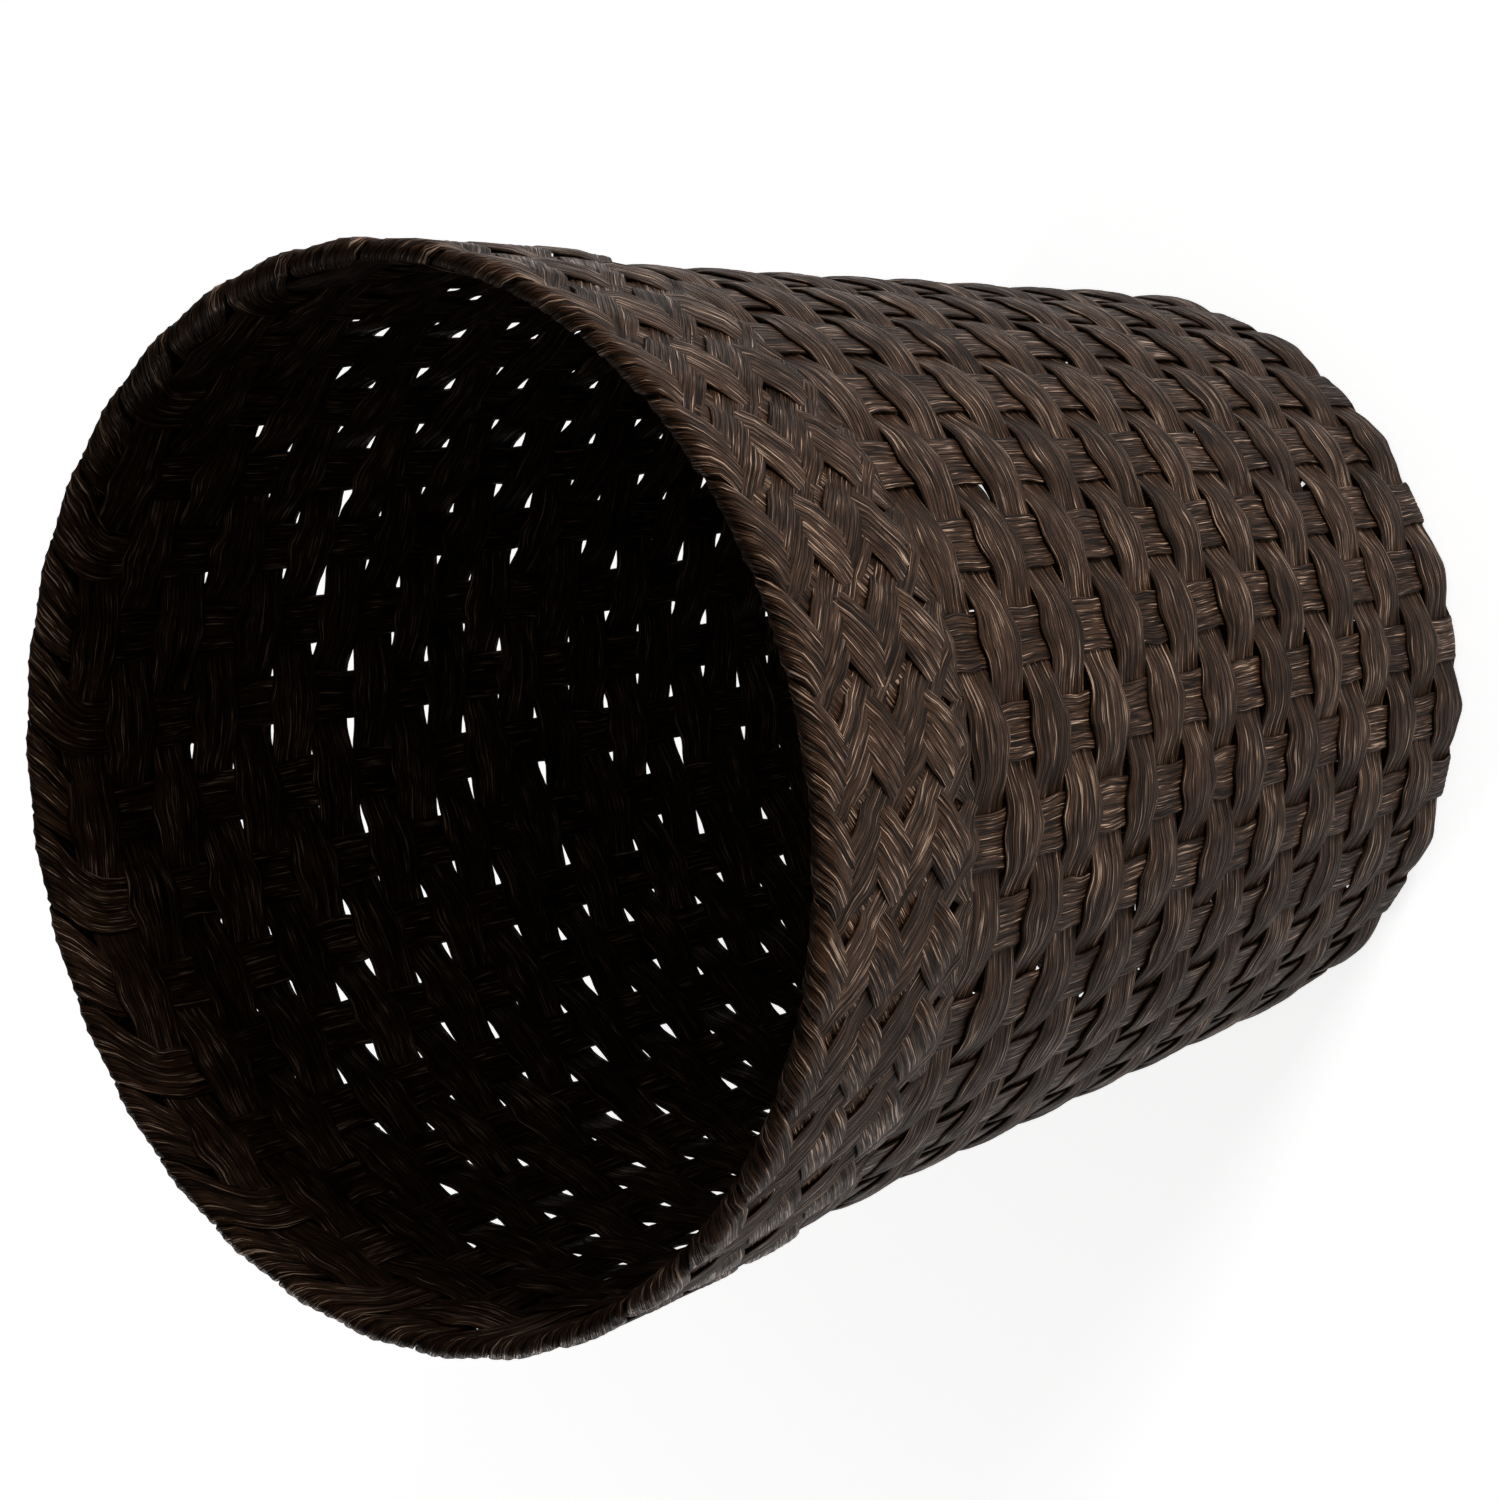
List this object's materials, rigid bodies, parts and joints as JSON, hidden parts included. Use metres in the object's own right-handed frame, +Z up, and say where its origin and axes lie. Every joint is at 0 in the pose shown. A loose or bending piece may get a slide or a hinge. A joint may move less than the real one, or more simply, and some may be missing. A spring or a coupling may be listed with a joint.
{
  "type": "wastebasket",
  "caption": "Round, open-topped wastebasket, tapered to its base, plain-woven from flat fibre strips, with a plaited border below the rim.",
  "frame": {"origin": "centre of the underside, on the surface that the basket stands on", "axes": "+Z up along the basket's axis, to the open mouth; +X along the middle one of the nine straight base strips"},
  "size_m": [0.2596, 0.2596, 0.305],
  "materials": {
    "stake_fibre": "satin, stained dark brown, fine lengthwise fibres",
    "weaver_fibre": "satin, stained dark brown, fine lengthwise fibres"
  },
  "bodies": {
    "root": {"base_strip_x_01": "stake_fibre", "base_strip_x_02": "stake_fibre", "base_strip_x_03": "stake_fibre", "base_strip_x_04": "stake_fibre", "base_strip_x_05": "stake_fibre", "base_strip_x_06": "stake_fibre", "base_strip_x_07": "stake_fibre", "base_strip_x_08": "stake_fibre", "base_strip_x_09": "stake_fibre", "base_strip_y_01": "stake_fibre", "base_strip_y_02": "stake_fibre", "base_strip_y_03": "stake_fibre", "base_strip_y_04": "stake_fibre", "base_strip_y_05": "stake_fibre", "base_strip_y_06": "stake_fibre", "base_strip_y_07": "stake_fibre", "base_strip_y_08": "stake_fibre", "base_weaver_01": "weaver_fibre", "base_weaver_02": "weaver_fibre", "wall_weaver_01": "weaver_fibre", "wall_weaver_02": "weaver_fibre", "wall_weaver_03": "weaver_fibre", "wall_weaver_04": "weaver_fibre", "wall_weaver_05": "weaver_fibre", "wall_weaver_06": "weaver_fibre", "wall_weaver_07": "weaver_fibre", "wall_weaver_08": "weaver_fibre", "wall_weaver_09": "weaver_fibre", "wall_weaver_10": "weaver_fibre", "wall_weaver_11": "weaver_fibre", "wall_weaver_12": "weaver_fibre", "wall_weaver_13": "weaver_fibre", "wall_weaver_14": "weaver_fibre", "wall_weaver_15": "weaver_fibre", "wall_weaver_16": "weaver_fibre", "wall_weaver_17": "weaver_fibre", "wall_weaver_18": "weaver_fibre", "wall_weaver_19": "weaver_fibre", "wall_weaver_20": "weaver_fibre", "wall_weaver_21": "weaver_fibre", "wall_weaver_22": "weaver_fibre"}
  },
  "joints": []
}
